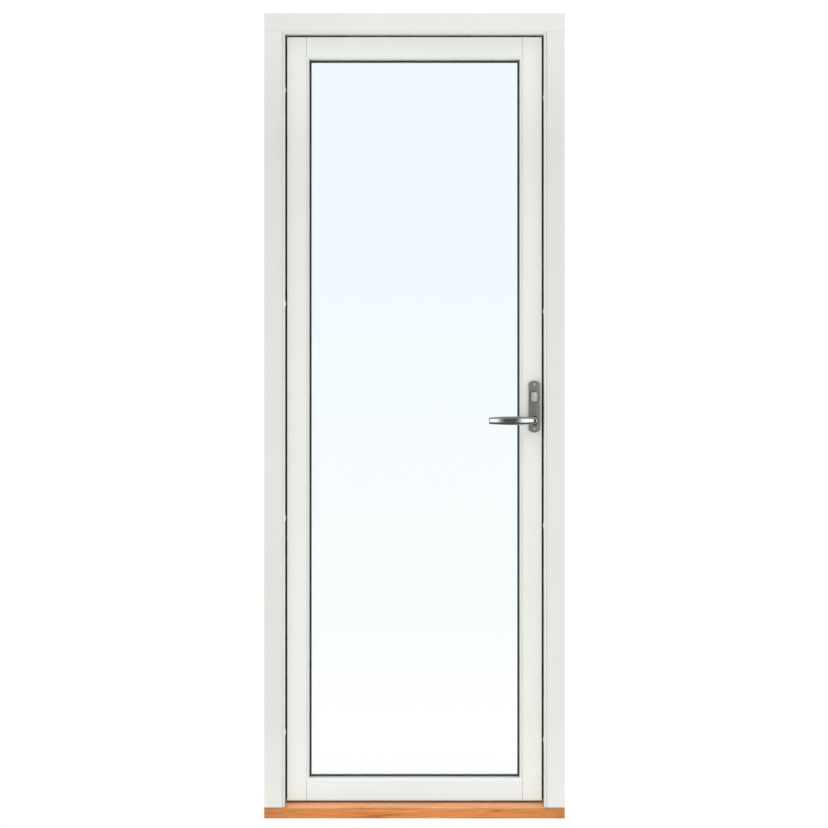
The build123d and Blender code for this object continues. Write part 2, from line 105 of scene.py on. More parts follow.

# Painted light and shade along a member, where it is lit more or less: axis, start, end and lift. The
# uprights are painted paler towards the foot and the top, the head darker towards its left end
foot_painted_light = ("Z", 0.26, 0.06, 7)
top_painted_light = ("Z", 1.76, 2.02, 11)
head_painted_shade = ("X", -0.12, -0.36, -6)

# Painted light on a jamb, from its opening side: start, end and lift. The moulding and the reveal beside the
# gap are painted paler
moulding_painted_light = (0.0085, 0.0070, 9)
reveal_painted_light = (0.0020, 0.0002, 34)

# Joints of the timber, and the lines in them: width and shade. The rail line and the jamb's top line are
# dark joints; the stile line is painted shade along the bevel's edge, the quirk line painted shade in the
# moulding's quirk, and the jamb's foot line its joint on the threshold with painted shade
timber_edge = 0.0006
rail_tongue = 0.0065
frame_moulding = 0.007
joint_width = 0.0008
quirk_inset = 0.0012
rail_line = (0.0010, 120)
stile_bevel_shade = (0.0009, 226)
jamb_top_line = (0.0010, 212)
jamb_foot_joint_shade = (0.0022, 130)
quirk_shade_line = (0.0014, 222)

# Oiled hardwood: browns of the bands, painted shade that darkens it towards both ends, and a painted sheen
# that makes the slope behind the nose paler
wood_browns = (
    (0.30, (184, 96, 36)),
    (0.44, (221, 136, 54)),
    (0.56, (238, 152, 76)),
    (0.70, (208, 118, 42)),
)
shaded_ends = (0.24, 0.39)
end_shade_tones = ((0.0, (255, 255, 255)), (0.6, (240, 238, 232)), (1.0, (232, 228, 220)))
slope_sheen_tone = (255, 172, 102)
slope_share = 0.42
slope_start = 0.001
slope_full = 0.003

# Tint of the glass from its foot to its top: a faint blue tint, with a painted reflection that leaves the
# foot white and grows bluer towards the top
glass_tint_and_reflection = (
    (0.06, (255, 255, 255)),
    (0.24, (251, 254, 253)),
    (0.48, (250, 253, 254)),
    (0.70, (247, 252, 255)),
)

# Metals: tone, roughness, axis of the streaks, darker tone, metallic share and fineness
metals = {
    "plain_aluminium": ((205, 207, 210), 0.38, "X", (188, 190, 194), 0.55, 900.0),
    "zinc_steel": ((178, 180, 184), 0.42, "Z", (150, 153, 158), 0.6, 500.0),
    "satin_metal": ((158, 158, 155), 0.2, "Z", (150, 150, 147), 0.6, 2500.0),
    "turn_metal": ((222, 225, 219), 0.22, "Z", (206, 209, 204), 0.5, 900.0),
}
chrome_tone = (212, 213, 213)
chrome_roughness = 0.1

# Plastics and rubbers: tone, roughness and darker tone
plastics = {
    "seal_rubber": ((24, 24, 22), 0.7, (20, 20, 18)),
    "grey_gasket": ((180, 192, 187), 0.6, (170, 182, 177)),
    "spacer_plastic": ((122, 135, 129), 0.55, (114, 126, 120)),
    "white_plastic": ((238, 238, 235), 0.4, (230, 230, 226)),
}

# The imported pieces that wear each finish
places = ("bottom", "middle", "top")
hinge_halves = tuple(half + place for place in places for half in ("hinge_frame_half_", "hinge_leaf_half_"))
strikes = tuple("strike_" + place for place in places)
sleeves = ("fixing_sleeves_left", "fixing_sleeves_right")
worn_by = {
    "oiled_hardwood": ("threshold",),
    "plain_aluminium": ("threshold_cover", "drip_rail"),
    "zinc_steel": ("lock_faceplate", "lock_bolts") + sleeves + strikes + hinge_halves,
    "turn_metal": ("thumb_turn",),
    "seal_rubber": ("frame_seal_head", "frame_seal_hinge_side", "frame_seal_lock_side", "threshold_seal"),
    "grey_gasket": ("glazing_gasket_inner", "glazing_gasket_outer"),
    "spacer_plastic": ("spacer_bar", "setting_blocks"),
    "white_plastic": ("fixing_caps_left", "fixing_caps_right"),
    "clear_glass": ("glass_inner", "glass_outer"),
}
metal_edge = 0.0004
softened_metal = ("threshold_cover", "drip_rail", "lock_faceplate", "thumb_turn") + hinge_halves

# Screws and where they sit
hinge_plate_width = 0.026
hinge_plate_thickness = 0.0025
hinge_screw_radius = 0.0040
hinge_screw_zigzag = 0.005
hinge_screw_rows = ((0.11, -1), (0.36, 1), (0.64, -1), (0.89, 1))
strike_screw_radius = 0.0033
strike_screw_inset = 0.012
faceplate_screw_inset = 0.015
faceplate_screw_count = 10
plate_screw_radius = 0.0031
plate_screw_inset = 0.010

# A screw's head, as shares of its radius, and how far it stands in the surface. Its cross starts at
# a share of the dome's height, and each screw is turned further than the one before
screw_rim = (1.0, 0.97, 0.88, 0.75)
screw_dome = 0.28
screw_recess = 0.32
screw_arm = 0.6
screw_slot = 0.14
screw_slot_level = 0.85
screw_slot_taper = 0.9
screw_segments = 48
screw_sunk = 0.0002
screw_turn = 0.7

# Handle plate
plate_thickness = 0.009
plate_end_radius = 0.020
plate_crown = 0.0005
plate_edge = 0.0012
plate_columns = 20
plate_rows = 40

# Lever: its sizes, how far its front and its tip stay inside the solid lever, and its steps
lever_thickness = 0.0115
lever_end_thickness = 0.009
lever_bow = 0.006
lever_belly_height = 0.0228
lever_end_height = 0.0168
lever_belly_at = 0.060
lever_belly_fall = 0.98
lever_neck_radius = 0.0078
lever_root_inside = 0.004
lever_bend = 0.0085
lever_bend_guess = 0.85
lever_roundness = 2.0
lever_squareness = 3.2
lever_tip_round = 0.003
lever_tip_reach = 0.97
lever_front_inset = 0.00005
lever_tip_inset = 0.0001
lever_segments = 64
neck_steps = 5
bend_steps = 16
grip_steps = 48
tip_steps = 6

# Rose round the lever where it leaves the plate, and the dark washer under it, a painted shadow round the
# rose
rose_inner = 0.0082
rose_outer = 0.0101
rose_height = 0.0030
rose_shadow_outer = 0.0116
rose_shadow_height = 0.0010
ring_segments = 96
ring_steps = 12

# Dark washer under the thumb turn, a painted shadow round its foot
washer_lip = 0.0016
washer_corner = 0.0062
washer_gap = 0.00003
washer_thickness = 0.00024

# Black sealing strips behind the gap round the leaf: a seal, and painted shade that darkens the gap
lip_beyond = 0.012
lip_gap = 0.005
rebate_depth = 0.029
gap_seal_width = 0.005
gap_seal_thickness = 0.0012
gap_seal_sunk = 0.0003
gap_seal_foot = 0.006


def linear(tone):
    """Colour for a shader from sRGB values of 0 to 255."""
    shares = [value / 255 for value in tone]
    return tuple(s / 12.92 if s <= 0.04045 else ((s + 0.055) / 1.055) ** 2.4 for s in shares) + (1.0,)


def shifted(tone, lift):
    """A tone made lighter or darker."""
    return tuple(value + lift for value in tone)


# Building blocks of the materials


class Tree:
    """The node tree of a material or a world, with short calls for its nodes."""

    def __init__(self, owner):
        owner.use_nodes = True
        self.nodes = owner.node_tree.nodes
        self.links = owner.node_tree.links

    def join(self, value, target):
        """Joins a node's output to an input, or gives the input a plain value."""
        if isinstance(value, bpy.types.NodeSocket):
            self.links.new(value, target)
        else:
            target.default_value = value

    def compute(self, operation, first, second=0.0):
        """One step of arithmetic on two values."""
        step = self.nodes.new("ShaderNodeMath")
        step.operation = operation
        self.join(first, step.inputs[0])
        self.join(second, step.inputs[1])
        return step.outputs["Value"]

    def part_of(self, vector, axis):
        """One coordinate of a vector."""
        split = self.nodes.new("ShaderNodeSeparateXYZ")
        self.links.new(vector, split.inputs["Vector"])
        return split.outputs[axis]

    def spread(self, socket, low, high, start=0.0, end=1.0):
        """Maps a value between start and end to a value between low and high."""
        spread = self.nodes.new("ShaderNodeMapRange")
        spread.inputs["From Min"].default_value = start
        spread.inputs["From Max"].default_value = end
        spread.inputs["To Min"].default_value = low
        spread.inputs["To Max"].default_value = high
        self.links.new(socket, spread.inputs["Value"])
        return spread.outputs["Result"]

    def ramp(self, socket, stops):
        """Colour between stops of a place from 0 to 1 and a colour: three sRGB or four linear values."""
        ramp = self.nodes.new("ShaderNodeValToRGB")
        elements = ramp.color_ramp.elements
        while len(elements) < len(stops):
            elements.new(0.5)
        for element, (position, tone) in zip(elements, stops):
            element.position = position
            element.color = linear(tone) if len(tone) == 3 else tone
        self.links.new(socket, ramp.inputs["Fac"])
        return ramp.outputs["Color"]

    def mix(self, first, second, share, blend="MIX"):
        """Mixes two colours, or multiplies them where blend says so."""
        mix = self.nodes.new("ShaderNodeMix")
        mix.data_type = "RGBA"
        mix.blend_type = blend
        colors = [socket for socket in mix.inputs if socket.type == "RGBA"]
        self.join(share, mix.inputs["Factor"])
        self.join(first, colors[0])
        self.join(second, colors[1])
        return [socket for socket in mix.outputs if socket.type == "RGBA"][0]

    def glow(self, kind, color, strength=1.0):
        """An emission or background shader."""
        shader = self.nodes.new(kind)
        self.join(color, shader.inputs["Color"])
        self.join(strength, shader.inputs["Strength"])
        return shader.outputs[0]

    def blend(self, share, first, second):
        """Two shaders, the first where the share is 0 and the second where it is 1."""
        blend = self.nodes.new("ShaderNodeMixShader")
        self.links.new(share, blend.inputs["Fac"])
        self.links.new(first, blend.inputs[1])
        self.links.new(second, blend.inputs[2])
        return blend.outputs["Shader"]


class Material(Tree):
    """A material with one principled shader."""

    def __init__(self, name, color, roughness, metallic=0.0):
        self.data = bpy.data.materials.new(name)
        super().__init__(self.data)
        self.shader = self.nodes["Principled BSDF"]
        self.bsdf = self.shader.outputs["BSDF"]
        self.surface = self.nodes["Material Output"].inputs["Surface"]
        self.set("Base Color", linear(color))
        self.set("Roughness", roughness)
        self.set("Metallic", metallic)
        self.place = self.nodes.new("ShaderNodeTexCoord").outputs["Object"]

    def set(self, name, value):
        """One number or colour of the shader, the same all over the surface."""
        self.shader.inputs[name].default_value = value

    def feed(self, name, socket):
        """Joins a node's output to an input of the shader."""
        self.links.new(socket, self.shader.inputs[name])

    def stretched(self, scale):
        """The place on the piece, scaled along X, Y and Z in features to the metre."""
        mapping = self.nodes.new("ShaderNodeMapping")
        mapping.inputs["Scale"].default_value = scale
        self.links.new(self.place, mapping.inputs["Vector"])
        return mapping.outputs["Vector"]

    def noise(self, scale, detail=3.0, roughness=0.5, distortion=0.0):
        """Soft noise from 0 to 1, with its scale along X, Y and Z in features to the metre."""
        texture = self.nodes.new("ShaderNodeTexNoise")
        texture.inputs["Scale"].default_value = 1.0
        texture.inputs["Detail"].default_value = detail
        texture.inputs["Roughness"].default_value = roughness
        texture.inputs["Distortion"].default_value = distortion
        self.links.new(self.stretched(scale), texture.inputs["Vector"])
        return texture.outputs["Fac"]

    def even_noise(self, scale, detail=3.0, roughness=0.5):
        """Soft noise with the same scale along all axes."""
        return self.noise((scale, scale, scale), detail, roughness)

    def sum(self, first, second, share=1.0):
        """The first value plus a share of the second."""
        add = self.nodes.new("ShaderNodeMath")
        add.operation = "MULTIPLY_ADD"
        for socket, value in zip(add.inputs, (second, share, first)):
            self.join(value, socket)
        return add.outputs["Value"]

    def level(self, axis):
        """The place along one axis in metres."""
        return self.part_of(self.place, axis)

    def from_line(self, axis, place, width):
        """0 on a line across an axis, at the same place on both sides of the middle, and 1 beside it."""
        outward = self.compute("ABSOLUTE", self.level(axis))
        off_line = self.compute("ABSOLUTE", self.compute("SUBTRACT", outward, place))
        return self.spread(off_line, 0.0, 1.0, width * 0.4, width)

    def relief(self, height, depth, strength):
        """Surface relief of a height from 0 to 1 over depth metres."""
        bump = self.nodes.new("ShaderNodeBump")
        bump.inputs["Strength"].default_value = strength
        bump.inputs["Distance"].default_value = depth
        self.links.new(height, bump.inputs["Height"])
        self.feed("Normal", bump.outputs["Normal"])


def along(axis, length_scale, cross_scale):
    """Scales for streaks that run along an axis."""
    return tuple(length_scale if name == axis else cross_scale for name in "XYZ")


def painted_timber_and_light(name, tone, axis, dark_lines, light_fades):
    """Sprayed satin paint on planed timber: faint grain, fine orange peel and slight unevenness, with
    painted light and shade along the member, dark joint lines and painted shade lines along its grooves."""
    paint = Material(name, tone, 0.4)
    cloud = paint.noise(along(axis, 2.0, 9.0), detail=2.0)
    color = paint.ramp(cloud, [(0.3, shifted(tone, -4)), (0.62, tone)])
    # Painted light and shade: the member paler or darker towards its ends, its moulding and its reveal
    for fade_axis, start, end, lift in light_fades:
        share = paint.spread(paint.level(fade_axis), 0.0, 1.0, start, end)
        color = paint.mix(color, linear(shifted(tone, lift)), share)
    # Dark joint lines, and painted shade along the bevel, in the quirk and at the jamb's foot
    for line_axis, place, width, shade in dark_lines:
        beside = paint.from_line(line_axis, place, width)
        line = paint.ramp(beside, [(0.0, (shade, shade, shade)), (1.0, (255, 255, 255))])
        color = paint.mix(color, line, 1.0, "MULTIPLY")
    paint.feed("Base Color", color)
    grain = paint.noise(along(axis, 5.0, 420.0), detail=4.0, roughness=0.6)
    peel = paint.even_noise(700.0, detail=1.0)
    paint.feed("Roughness", paint.spread(paint.sum(grain, peel, 0.5), 0.34, 0.52, start=0.3, end=1.2))
    paint.relief(paint.sum(grain, peel, 0.4), depth=0.00012, strength=0.35)
    return paint.data


def oiled_hardwood():
    """Oiled orange-brown hardwood with fine grain and short dark pores along the threshold, painted darker
    towards both ends as shade and paler on the slope behind the nose as a painted sheen.
    """
    wood = Material("oiled_hardwood", (220, 148, 88), 0.45)
    wood.set("Coat Weight", 1.0)
    wood.set("Coat Roughness", 0.12)
    wood.set("Coat IOR", 1.7)
    bands = wood.noise((4.5, 45.0, 75.0), detail=5.0, roughness=0.62, distortion=0.6)
    streaks = wood.noise((9.0, 420.0, 420.0), detail=3.0, roughness=0.7)
    shade = wood.ramp(streaks, [(0.3, (214, 206, 196)), (0.55, (255, 255, 255))])
    grained = wood.mix(wood.ramp(bands, wood_browns), shade, 0.55, "MULTIPLY")
    pores = wood.noise((28.0, 1300.0, 1300.0), detail=2.0, roughness=0.5)
    pore_shade = wood.ramp(pores, [(0.30, (120, 90, 70)), (0.40, (255, 255, 255))])
    pored = wood.mix(grained, pore_shade, 0.35, "MULTIPLY")
    # Painted shade: the threshold darker towards both ends
    outward = wood.compute("ABSOLUTE", wood.level("X"))
    end_shade = wood.ramp(wood.spread(outward, 0.0, 1.0, *shaded_ends), end_shade_tones)
    end_shaded = wood.mix(pored, end_shade, 1.0, "MULTIPLY")
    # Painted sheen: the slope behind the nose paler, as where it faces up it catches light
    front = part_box("threshold")[0][1]
    slope_sheen = wood.spread(wood.level("Y"), 0.0, slope_share, front + slope_start, front + slope_full)
    wood.feed("Base Color", wood.mix(end_shaded, linear(slope_sheen_tone), slope_sheen))
    wood.feed("Roughness", wood.spread(streaks, 0.38, 0.6))
    wood.relief(wood.sum(pores, streaks, 0.6), depth=0.0002, strength=0.4)
    return wood.data


def brushed_metal(name, tone, roughness, axis, darker, metallic, fine):
    """Rolled or brushed metal with fine streaks along an axis and a slightly uneven tone."""
    metal = Material(name, tone, roughness, metallic)
    streaks = metal.noise(along(axis, 14.0, fine), detail=3.0, roughness=0.6)
    cloud = metal.even_noise(25.0, detail=3.0)
    both = metal.spread(metal.sum(streaks, cloud, 0.6), 0.0, 1.0, start=0.4, end=1.2)
    metal.feed("Base Color", metal.ramp(both, [(0.1, darker), (0.8, tone)]))
    metal.feed("Roughness", metal.spread(both, roughness - 0.06, roughness + 0.1))
    metal.relief(streaks, depth=0.00002, strength=0.3)
    return metal.data


def polished_metal(name, tone, roughness):
    """Chrome-plated metal with faint smudges."""
    metal = Material(name, tone, roughness, 1.0)
    smudge = metal.even_noise(60.0, detail=4.0, roughness=0.6)
    metal.feed("Roughness", metal.spread(smudge, roughness, roughness + 0.08, start=0.35, end=0.75))
    metal.feed("Base Color", metal.ramp(smudge, [(0.3, shifted(tone, -6)), (0.7, tone)]))
    metal.relief(smudge, depth=0.00001, strength=0.1)
    return metal.data


def plain_plastic(name, tone, roughness, darker):
    """Moulded plastic or rubber with a fine matt skin."""
    plastic = Material(name, tone, roughness)
    skin = plastic.even_noise(1500.0, detail=2.0)
    cloud = plastic.even_noise(12.0, detail=2.0)
    plastic.feed("Base Color", plastic.ramp(cloud, [(0.3, darker), (0.7, tone)]))
    plastic.feed("Roughness", plastic.spread(skin, roughness - 0.05, roughness + 0.1))
    plastic.relief(skin, depth=0.00003, strength=0.3)
    return plastic.data


def clear_glass():
    """Clear float glass with a faint blue tint and a painted reflection, white at the foot and bluer towards
    the top, and no hard shadow.
    """
    glass = Material("clear_glass", (250, 253, 255), 0.0)
    glass.set("Transmission Weight", 1.0)
    glass.set("IOR", 1.45)
    glass.set("Specular IOR Level", 0.15)
    # Painted reflection: the glass bluer towards the top and white at its foot
    low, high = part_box("glass_inner")
    height = glass.spread(glass.level("Z"), 0.0, 1.0, low[2], high[2])
    glass.feed("Base Color", glass.ramp(height, glass_tint_and_reflection))
    clear = glass.nodes.new("ShaderNodeBsdfTransparent").outputs["BSDF"]
    shadow_rays = glass.nodes.new("ShaderNodeLightPath").outputs["Is Shadow Ray"]
    glass.join(glass.blend(shadow_rays, glass.bsdf, clear), glass.surface)
    return glass.data


# Studio


def background_rays(tree):
    """1 where a ray shows the plain background: from the camera, off metal or through glass."""
    path = tree.nodes.new("ShaderNodeLightPath").outputs
    total = tree.compute("MAXIMUM", path["Is Camera Ray"], path["Is Glossy Ray"])
    return tree.compute("MAXIMUM", total, path["Is Transmission Ray"])


def mirrored_rays(tree):
    """1 where a ray comes off a shiny surface, and 0 where it passes through glass."""
    path = tree.nodes.new("ShaderNodeLightPath").outputs
    return tree.compute("MULTIPLY", path["Is Glossy Ray"], path["Is Reflection Ray"])


def room_reflection(tree, direction):
    """What metal mirrors: a bright panel on each side of a dark middle, grey above and dark below."""
    panels = tree.ramp(tree.compute("ABSOLUTE", tree.part_of(direction, "X")), mirror_panels)
    height = tree.spread(tree.part_of(direction, "Z"), 0.0, 1.0, -1.0, 1.0)
    return tree.mix(panels, tree.ramp(height, mirror_levels), tree.ramp(height, mirror_edges))


def make_world():
    """White backdrop for what is seen, and a softer grey light for what is lit."""
    world = bpy.data.worlds.new("studio")
    bpy.context.scene.world = world
    tree = Tree(world)
    direction = tree.nodes.new("ShaderNodeTexCoord").outputs["Generated"]
    strength = tree.spread(tree.part_of(direction, "Z"), sky_low, sky_high, *sky_grows)
    sky = tree.nodes["Background"]
    tree.join(sky_color, sky.inputs["Color"])
    tree.join(strength, sky.inputs["Strength"])
    backdrop = tree.glow("ShaderNodeBackground", white, backdrop_strength)
    room = tree.glow("ShaderNodeBackground", room_reflection(tree, direction))
    seen = tree.blend(mirrored_rays(tree), backdrop, room)
    shown = tree.blend(background_rays(tree), sky.outputs["Background"], seen)
    tree.join(shown, tree.nodes["World Output"].inputs["Surface"])


def make_floor():
    """Plain pale floor that keeps the door's soft shadow and is white in view."""
    mesh = bpy.data.meshes.new("floor")
    shape = bmesh.new()
    bmesh.ops.create_grid(shape, x_segments=1, y_segments=1, size=floor_reach)
    shape.to_mesh(mesh)
    shape.free()
    floor = bpy.data.objects.new("floor", mesh)
    bpy.context.scene.collection.objects.link(floor)
    pale = Material("floor", floor_tone, 0.9)
    pale.feed("Roughness", pale.spread(pale.even_noise(8.0), 0.85, 0.95))
    distance = pale.nodes.new("ShaderNodeVectorMath")
    distance.operation = "LENGTH"
    pale.links.new(pale.place, distance.inputs[0])
    white_share = pale.spread(distance.outputs["Value"], floor_white_near, 1.0, *floor_fades)
    emitted = pale.glow("ShaderNodeEmission", white, backdrop_strength)
    in_view = pale.blend(white_share, pale.bsdf, emitted)
    seen = pale.blend(background_rays(pale), pale.bsdf, in_view)
    mirrored = pale.glow("ShaderNodeEmission", linear(mirror_floor))
    pale.join(pale.blend(mirrored_rays(pale), seen, mirrored), pale.surface)
    mesh.materials.append(pale.data)


def make_lamp(name, place, size, power):
    """Soft box at a place, facing the middle of the door and not mirrored in it."""
    data = bpy.data.lights.new(name, "AREA")
    data.shape = "RECTANGLE"
    data.size, data.size_y = size
    data.energy = power
    lamp = bpy.data.objects.new(name, data)
    bpy.context.scene.collection.objects.link(lamp)
    lamp.location = place
    lamp.rotation_euler = (Vector((0, 0, camera_z)) - Vector(place)).to_track_quat("-Z", "Y").to_euler()
    lamp.visible_glossy = False
    lamp.visible_transmission = False


def make_camera():
    """Camera straight in front of the door, at half its height."""
    data = bpy.data.cameras.new("camera")
    data.sensor_width = sensor_width
    data.lens = sensor_width * camera_distance / field_width
    camera = bpy.data.objects.new("camera", data)
    bpy.context.scene.collection.objects.link(camera)
    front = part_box("frame_head")[0][1]
    camera.location = (camera_x, front - camera_distance, camera_z)
    camera.rotation_euler = (math.pi / 2, 0.0, 0.0)
    bpy.context.scene.camera = camera


# Pieces


def add_piece(name, shape, material, body):
    """New piece from a finished bmesh, riding on a body."""
    mesh = bpy.data.meshes.new(name)
    shape.normal_update()
    shape.to_mesh(mesh)
    shape.free()
    piece = bpy.data.objects.new(name, mesh)
    bpy.context.scene.collection.objects.link(piece)
    mesh.materials.append(material)
    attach(piece, body)
    return piece


def shade_smooth(piece, angle=35.0):
    """Smooth shading with edges sharper than the angle kept."""
    for polygon in piece.data.polygons:
        polygon.use_smooth = True
    piece.data.set_sharp_from_angle(angle=math.radians(angle))


def round_edges(piece, width, segments):
    """Rounds the hard edges of a piece by a radius."""
    bevel = piece.modifiers.new("edge", "BEVEL")
    bevel.width = width
    bevel.segments = segments
    bevel.limit_method = "ANGLE"
    bevel.angle_limit = math.radians(30)


def bridge(shape, first, second):
    """Faces between two closed rings with the same number of points."""
    for n in range(len(first)):
        m = (n + 1) % len(first)
        shape.faces.new((first[n], first[m], second[m], second[n]))


def add_slab(shape, outline, back_y, front_y):
    """Flat slab between two depths, with an outline of (x, z) corners."""
    back = [shape.verts.new((x, back_y, z)) for x, z in outline]
    front = [shape.verts.new((x, front_y, z)) for x, z in outline]
    shape.faces.new(front)
    shape.faces.new(back[::-1])
    bridge(shape, back, front)


def middle_of(node):
    """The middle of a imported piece."""
    low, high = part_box(node)
    return [(low[n] + high[n]) / 2 for n in range(3)]


def cross_reach(turn, arm, half_width):
    """How far a cross-shaped recess reaches in the direction of an angle."""
    tiny = 1e-6
    across = max(abs(math.cos(turn)), tiny)
    up = max(abs(math.sin(turn)), tiny)
    wide = min(arm / across, half_width / up)
    tall = min(half_width / across, arm / up)
    return max(wide, tall)


def add_screw(shape, centre, normal, radius, turned):
    """Screw head with a low dome and a cross recess, its rim on the surface at centre."""
    normal = Vector(normal).normalized()
    side = normal.orthogonal().normalized()
    up = normal.cross(side)
    turns = [2 * math.pi * n / screw_segments + turned for n in range(screw_segments)]
    reach = [cross_reach(turn, radius * screw_arm, radius * screw_slot) for turn in turns]
    dome = radius * screw_dome
    top = dome * screw_slot_level
    bottom = top - radius * screw_recess
    rings = [[(radius * share, dome * (1 - share**2))] * screw_segments for share in screw_rim]
    rings.append([(r, top) for r in reach])
    rings.append([(r * screw_slot_taper, bottom) for r in reach])
    circles = []
    for ring in rings:
        circle = []
        for turn, (r, height) in zip(turns, ring):
            spot = Vector(centre) + side * (r * math.cos(turn)) + up * (r * math.sin(turn)) + normal * height
            circle.append(shape.verts.new(spot))
        circles.append(circle)
    base = [shape.verts.new(vertex.co - normal * screw_sunk) for vertex in circles[0]]
    circles.insert(0, base)
    for lower, upper in zip(circles, circles[1:]):
        bridge(shape, lower, upper)
    pit = shape.verts.new(Vector(centre) + normal * bottom)
    inmost = circles[-1]
    for n in range(screw_segments):
        shape.faces.new((inmost[n], inmost[(n + 1) % screw_segments], pit))
    shape.faces.new(base[::-1])


def make_screws(name, spots, radius, material, body):
    """One piece of several screw heads: spots are (centre, normal) pairs."""
    shape = bmesh.new()
    for count, (centre, normal) in enumerate(spots):
        add_screw(shape, centre, normal, radius, screw_turn * count)
    bmesh.ops.recalc_face_normals(shape, faces=shape.faces)
    shade_smooth(add_piece(name, shape, material, body))


def hinge_screw_spots(node, on_jamb):
    """Four screws in a hinge half's plate, two up and two down, in a zigzag."""
    low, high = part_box(node)
    middle = low[0] + hinge_plate_width / 2 if on_jamb else high[0] - hinge_plate_width / 2
    face = low[1] + hinge_plate_thickness
    spots = []
    for share, side in hinge_screw_rows:
        z = low[2] + (high[2] - low[2]) * share
        spots.append(((middle + side * hinge_screw_zigzag, face, z), (0, 1, 0)))
    return spots


def strike_screw_spots(node):
    """Two screws in a strike plate, above and below its slot."""
    low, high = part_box(node)
    y = middle_of(node)[1]
    heights = (low[2] + strike_screw_inset, high[2] - strike_screw_inset)
    return [((low[0], y, z), (-1, 0, 0)) for z in heights]


def faceplate_screw_spots():
    """Screws along the lock's faceplate, evenly spaced between its ends."""
    low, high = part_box("lock_faceplate")
    y = middle_of("lock_faceplate")[1]
    first = low[2] + faceplate_screw_inset
    pitch = (high[2] - low[2] - 2 * faceplate_screw_inset) / (faceplate_screw_count - 1)
    return [((high[0], y, first + pitch * n), (1, 0, 0)) for n in range(faceplate_screw_count)]


def plate_screw_spots():
    """Two screws in the handle plate, near its ends."""
    low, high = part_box("handle_backplate")
    x = middle_of("handle_backplate")[0]
    face = high[1] - plate_thickness
    heights = (low[2] + plate_screw_inset, high[2] - plate_screw_inset)
    return [((x, face, z), (0, -1, 0)) for z in heights]


def make_plate(material):
    """Handle plate with arched ends, its face slightly crowned across and its edges rounded."""
    low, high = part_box("handle_backplate")
    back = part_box("lock_stile")[0][1]
    face = back - plate_thickness
    middle_x = middle_of("handle_backplate")[0]
    half_width = (high[0] - low[0]) / 2
    shape = bmesh.new()
    front, rear = [], []
    for i in range(plate_columns + 1):
        share = 2 * i / plate_columns - 1
        x = half_width * share
        drop = plate_end_radius - math.sqrt(plate_end_radius**2 - x**2)
        bottom, top = low[2] + drop, high[2] - drop
        heights = [bottom + (top - bottom) * j / plate_rows for j in range(plate_rows + 1)]
        y = face + plate_crown * share**2
        front.append([shape.verts.new((middle_x + x, y, z)) for z in heights])
        rear.append([shape.verts.new((middle_x + x, back, z)) for z in heights])
    for i in range(plate_columns):
        for j in range(plate_rows):
            for side in (front, rear):
                shape.faces.new((side[i][j], side[i + 1][j], side[i + 1][j + 1], side[i][j + 1]))
        for j in (0, plate_rows):
            shape.faces.new((front[i][j], front[i + 1][j], rear[i + 1][j], rear[i][j]))
    for j in range(plate_rows):
        for i in (0, plate_columns):
            shape.faces.new((front[i][j], front[i][j + 1], rear[i][j + 1], rear[i][j]))
    bmesh.ops.recalc_face_normals(shape, faces=shape.faces)
    piece = add_piece("handle_plate", shape, material, "leaf")
    shade_smooth(piece)
    round_edges(piece, plate_edge, 3)
    return piece


def lever_station(x, axis_x, tip_x, front_y):
    """Middle, slope, half height and half depth of the lever's grip at a place x along it."""
    half_length = (axis_x - tip_x) / 2
    middle = (axis_x + tip_x) / 2
    share = (x - middle) / half_length
    depth = lever_thickness - (lever_thickness - lever_end_thickness) * share**2
    y = front_y + lever_bow * share**2 + depth / 2
    slope = (2 * lever_bow - (lever_thickness - lever_end_thickness)) * share / half_length
    swell = 1 - ((x - (axis_x - lever_belly_at)) / half_length) ** 2 * lever_belly_fall
    half_height = (lever_end_height + (lever_belly_height - lever_end_height) * max(0.0, swell)) / 2
    return y, slope, half_height, depth / 2


